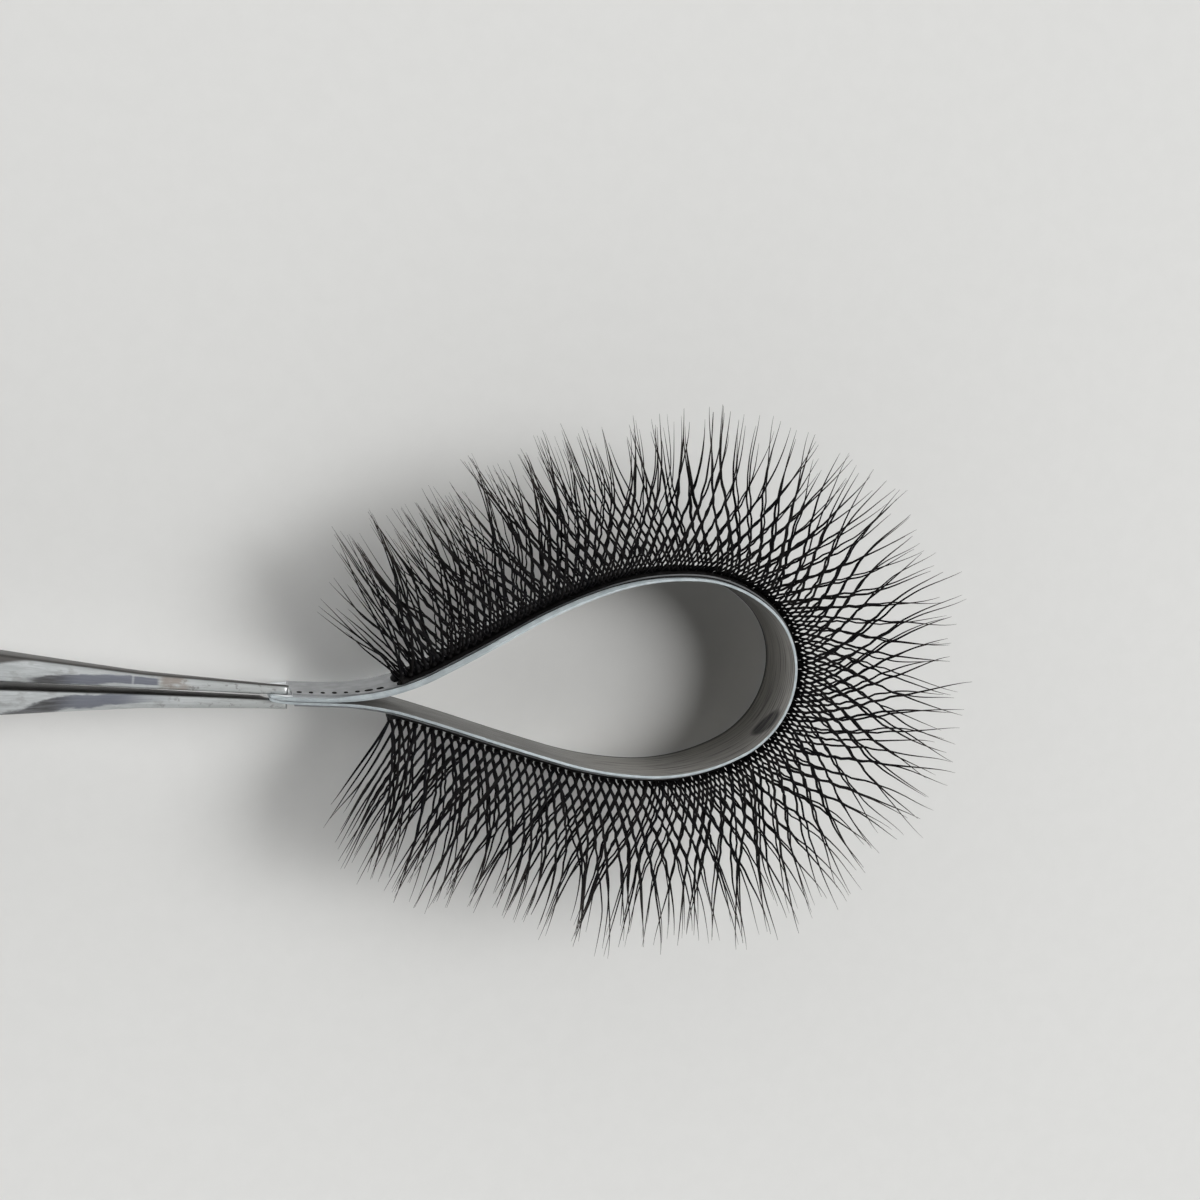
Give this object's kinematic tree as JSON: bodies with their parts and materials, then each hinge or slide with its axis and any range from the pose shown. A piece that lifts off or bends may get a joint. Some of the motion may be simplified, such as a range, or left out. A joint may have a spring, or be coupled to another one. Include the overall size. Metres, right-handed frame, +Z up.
{
  "type": "looped lash extension strip in tweezers",
  "caption": "Strip of curled, cross-laid black lash fans on a silver-grey carrier tape, bent into a standing teardrop loop and pinched by its tails in fine steel tweezers.",
  "frame": {"origin": "on the table, at the middle of the lower edge of the tweezers' heel", "axes": "+X from the heel to the round end of the loop, +Y the way the upper arm opens, +Z up from the table"},
  "size_m": [0.1463, 0.025, 0.0075],
  "materials": {
    "polished_steel": "polished stainless steel, scratched near the tips",
    "silver_tape": "silver-grey film tape with bright cut edges",
    "clear_film": "pale adhesive film",
    "root_glue": "black bonded lash roots",
    "lash_fibre": "satin black synthetic fibre"
  },
  "bodies": {
    "heel": {"heel_upper_tang": "polished_steel", "heel_lower_tang": "polished_steel"},
    "upper_arm": {"upper_arm": "polished_steel"},
    "lower_arm": {"lower_arm": "polished_steel"},
    "lash_strip": {"carrier_tape": "silver_tape", "adhesive_film": "clear_film", "root_band": "root_glue", "residue_dots": "root_glue", "upper_leg_fans_1": "lash_fibre", "upper_leg_fans_2": "lash_fibre", "upper_leg_fans_3": "lash_fibre", "upper_leg_fans_4": "lash_fibre", "upper_leg_fans_5": "lash_fibre", "upper_leg_fans_6": "lash_fibre", "upper_leg_fans_7": "lash_fibre", "upper_leg_fans_8": "lash_fibre", "round_end_fans_1": "lash_fibre", "round_end_fans_2": "lash_fibre", "round_end_fans_3": "lash_fibre", "round_end_fans_4": "lash_fibre", "round_end_fans_5": "lash_fibre", "round_end_fans_6": "lash_fibre", "round_end_fans_7": "lash_fibre", "round_end_fans_8": "lash_fibre", "round_end_fans_9": "lash_fibre", "lower_leg_fans_1": "lash_fibre", "lower_leg_fans_2": "lash_fibre", "lower_leg_fans_3": "lash_fibre", "lower_leg_fans_4": "lash_fibre", "lower_leg_fans_5": "lash_fibre", "lower_leg_fans_6": "lash_fibre"}
  },
  "joints": [
    {"name": "upper_arm_flex", "type": "hinge", "parent": "heel", "child": "upper_arm", "pos_m": [0.0081, 0.00053, 0.00375], "axis": [0, 0, 1], "range_deg": [0, 2.5], "stiffness_Nm_per_rad": 0.6, "springref_deg": 2.5},
    {"name": "lower_arm_flex", "type": "hinge", "parent": "heel", "child": "lower_arm", "pos_m": [0.0081, -0.00053, 0.00375], "axis": [0, 0, 1], "range_deg": [-2.5, 0], "stiffness_Nm_per_rad": 0.6, "springref_deg": -2.5},
    {"name": "strip_pull_out", "type": "slide", "parent": "heel", "child": "lash_strip", "axis": [1, 0, 0], "range_m": [0, 0.012]}
  ],
  "couplings": [
    {"joint": "lower_arm_flex", "follows": "upper_arm_flex", "ratio": -1}
  ]
}
